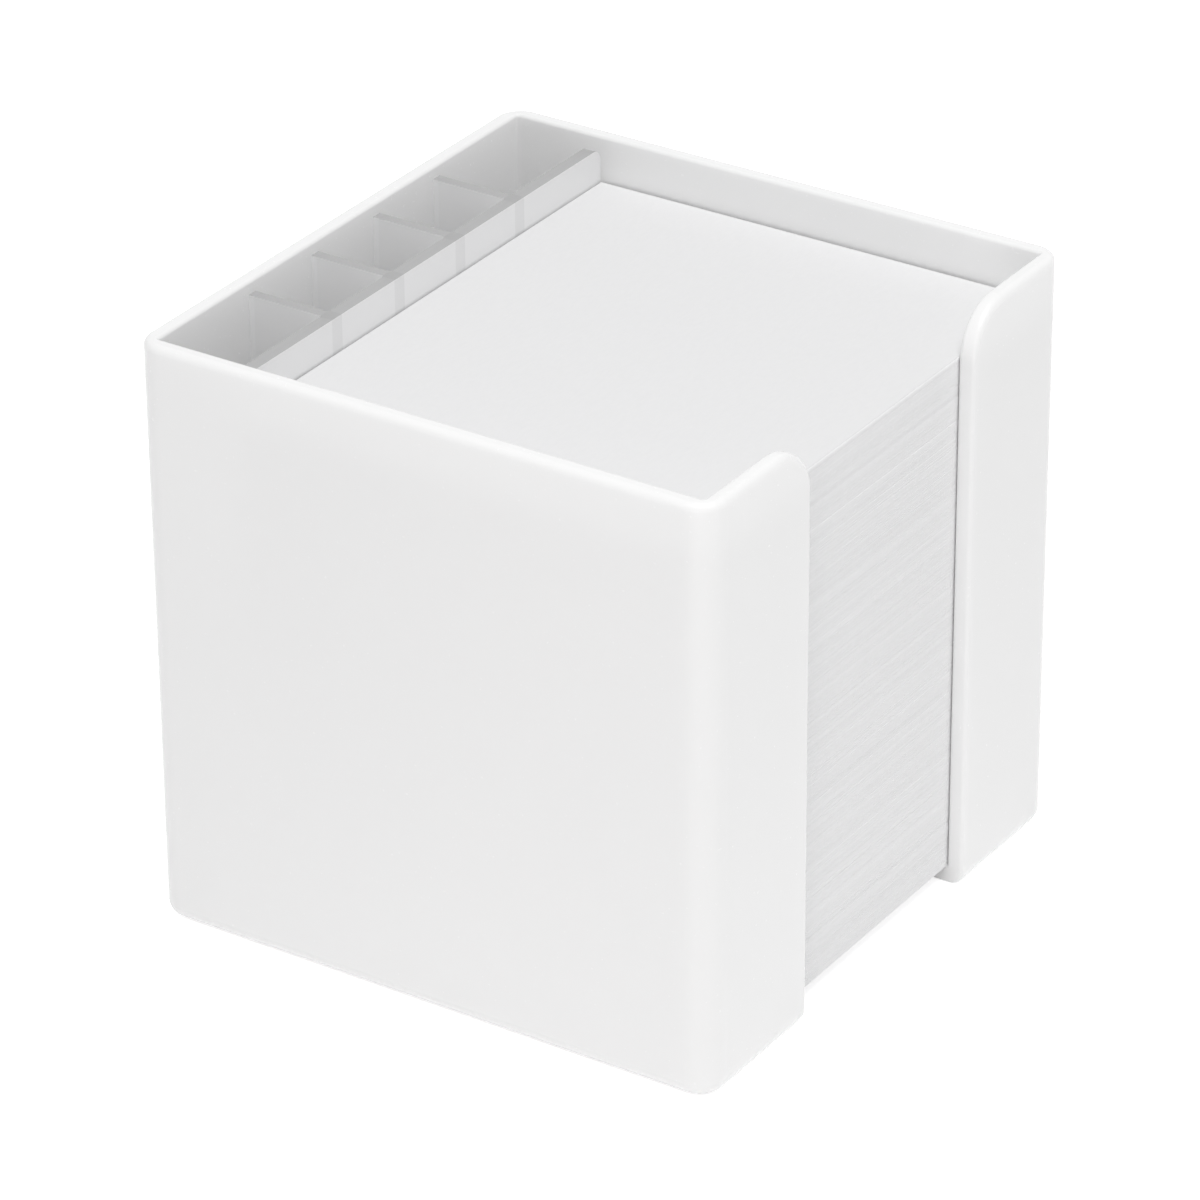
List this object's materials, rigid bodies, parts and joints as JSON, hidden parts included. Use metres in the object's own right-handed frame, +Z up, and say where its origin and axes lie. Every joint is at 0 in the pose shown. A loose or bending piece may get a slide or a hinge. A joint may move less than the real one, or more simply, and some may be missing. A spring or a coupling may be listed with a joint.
{
  "type": "memo pad holder",
  "caption": "Open-top white desk box for loose memo sheets, with a thumb slot in the front wall and a clear insert that makes pen compartments along the back.",
  "frame": {"origin": "centre of the box's outline, on the surface that the holder stands on", "axes": "+Z up; the slotted front faces -Y, the pen compartments are along the +Y wall; +X to the right seen from the front"},
  "size_m": [0.102, 0.102, 0.1],
  "materials": {
    "shell_plastic": "polished white moulding",
    "clear_plastic": "clear polished moulding",
    "stack_paper": "cut sheet edges, uncoated",
    "top_sheet_paper": "uncoated"
  },
  "bodies": {
    "holder": {"holder_shell": "shell_plastic"},
    "insert": {"divider_insert": "clear_plastic"},
    "stack": {"note_stack": "stack_paper"},
    "single_note": {"top_note": "top_sheet_paper"}
  },
  "joints": [
    {"name": "insert_lift", "type": "slide", "parent": "holder", "child": "insert", "axis": [0, 0, 1], "range_m": [0, 0.105]},
    {"name": "stack_lift", "type": "slide", "parent": "holder", "child": "stack", "axis": [0, 0, 1], "range_m": [0, 0.105]},
    {"name": "top_note_lift", "type": "slide", "parent": "stack", "child": "single_note", "axis": [0, 0, 1], "range_m": [0, 0.03]}
  ]
}
